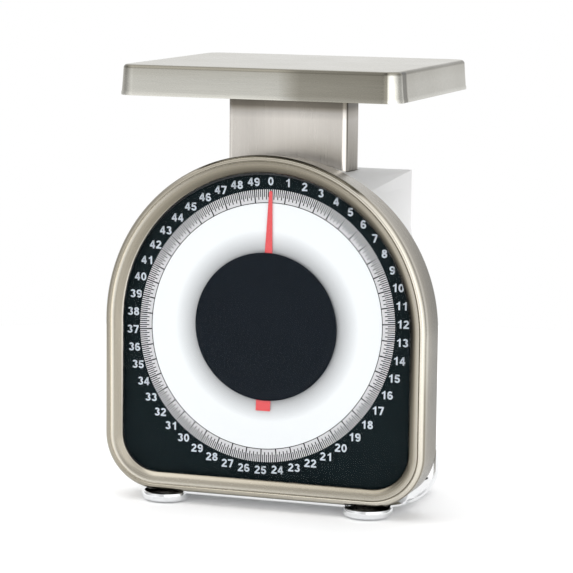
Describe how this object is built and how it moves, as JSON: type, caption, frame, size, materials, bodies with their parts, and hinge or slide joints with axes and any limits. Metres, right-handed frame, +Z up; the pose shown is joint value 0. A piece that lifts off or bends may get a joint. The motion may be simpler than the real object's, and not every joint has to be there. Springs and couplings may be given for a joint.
{
  "type": "letter scale",
  "caption": "Spring postal scale with a flat weighing pan on a steel column above a round dial with a rack-driven pointer.",
  "frame": {"origin": "on the floor under the middle of the overall box", "axes": "+Z up, the dial faces -Y, +X to the right of someone reading the dial"},
  "size_m": [0.184, 0.145, 0.2425],
  "materials": {
    "stainless_steel": "brushed stainless sheet with a slight warm tint",
    "chrome_plate": "bright plated pressing",
    "white_paint": "white baked enamel, semi-gloss",
    "dial_print": "black and white screen print on steel",
    "clear_lens": "clear polished acrylic",
    "black_disc": "satin black",
    "pointer_red": "red enamel",
    "zinc_steel": "zinc plated pressing",
    "spring_steel": "drawn spring wire",
    "brass": "machined brass",
    "black_plastic": "moulded black plastic",
    "rubber": "matt black rubber"
  },
  "bodies": {
    "root": {"base_plate": "chrome_plate", "foot_pad_front_left": "rubber", "foot_pad_front_right": "rubber", "foot_pad_rear_left": "rubber", "foot_pad_rear_right": "rubber", "rear_housing": "white_paint", "front_shroud": "stainless_steel", "dial_lens": "clear_lens", "lens_spacer": "black_plastic", "dial_plate": "dial_print", "frame_cheek_left": "zinc_steel", "frame_cheek_right": "zinc_steel", "frame_rear_tie": "zinc_steel", "spring_beam": "zinc_steel", "upper_frame_rod": "zinc_steel", "lower_frame_rod": "zinc_steel", "movement_front_plate": "zinc_steel", "movement_rear_plate": "zinc_steel", "movement_pillar_1": "zinc_steel", "movement_pillar_2": "zinc_steel", "movement_pillar_3": "zinc_steel", "movement_pillar_4": "zinc_steel", "dial_standoff_lower_left": "zinc_steel", "dial_standoff_lower_right": "zinc_steel", "dial_standoff_upper_left": "zinc_steel", "dial_standoff_upper_right": "zinc_steel", "front_bush": "brass", "rear_bush": "brass", "roller_pin": "zinc_steel", "overload_stop": "rubber", "spring_left": "spring_steel", "spring_right": "spring_steel"},
    "pan_carriage": {"weighing_pan": "stainless_steel", "pan_spider": "zinc_steel", "pan_screw_1": "zinc_steel", "pan_screw_2": "zinc_steel", "pan_screw_3": "zinc_steel", "pan_screw_4": "zinc_steel", "column": "stainless_steel", "column_load_bar": "zinc_steel", "upper_column_pin_left": "zinc_steel", "upper_column_pin_right": "zinc_steel", "lower_column_pin_left": "zinc_steel", "lower_column_pin_right": "zinc_steel", "rack": "brass", "rack_bracket": "zinc_steel", "rack_bracket_screw_1": "zinc_steel", "rack_bracket_screw_2": "zinc_steel"},
    "pointer_group": {"pointer": "pointer_red", "hub_disc": "black_disc", "pointer_arbor": "zinc_steel", "pinion": "brass"},
    "upper_link": {"upper_check_link": "zinc_steel"},
    "lower_link": {"lower_check_link": "zinc_steel"},
    "guide_roller": {"rack_roller": "brass"},
    "zero_adjuster": {"zero_knob": "black_plastic", "zero_screw": "brass"},
    "yoke": {"spring_yoke": "zinc_steel"}
  },
  "joints": [
    {"name": "pan_travel", "type": "slide", "parent": "root", "child": "pan_carriage", "axis": [0, 0, -1], "range_m": [0, 0.0201], "stiffness_N_per_m": 11070, "springref_m": -0.0009, "deforming": ["spring_left", "spring_right"]},
    {"name": "pointer_turn", "type": "hinge", "parent": "root", "child": "pointer_group", "pos_m": [0, -0.0415, 0.101], "axis": [0, 1, 0], "range_deg": [0, 360]},
    {"name": "upper_link_swing", "type": "hinge", "parent": "root", "child": "upper_link", "pos_m": [0, 0.028, 0.115], "axis": [1, 0, 0], "range_deg": [0, 35.5]},
    {"name": "lower_link_swing", "type": "hinge", "parent": "root", "child": "lower_link", "pos_m": [0, 0.028, 0.062], "axis": [1, 0, 0], "range_deg": [0, 35.5]},
    {"name": "roller_turn", "type": "hinge", "parent": "root", "child": "guide_roller", "pos_m": [0.0113, -0.0415, 0.101], "axis": [0, 1, 0], "range_deg": [-443.5, 0]},
    {"name": "zero_knob_turn", "type": "hinge", "parent": "root", "child": "zero_adjuster", "pos_m": [0, -0.007, 0.196], "axis": [0, 0, 1], "range_deg": [-720, 720]},
    {"name": "yoke_lift", "type": "slide", "parent": "root", "child": "yoke", "axis": [0, 0, 1], "range_m": [-0.0016, 0.0016]}
  ],
  "couplings": [
    {"joint": "pointer_turn", "follows": "pan_travel", "rad_per_m": 312.5},
    {"joint": "upper_link_swing", "follows": "pan_travel", "rad_per_m": 30.8},
    {"joint": "lower_link_swing", "follows": "pan_travel", "rad_per_m": 30.8},
    {"joint": "roller_turn", "follows": "pan_travel", "rad_per_m": -384.6},
    {"joint": "yoke_lift", "follows": "zero_knob_turn", "m_per_rad": -0.00012732}
  ]
}
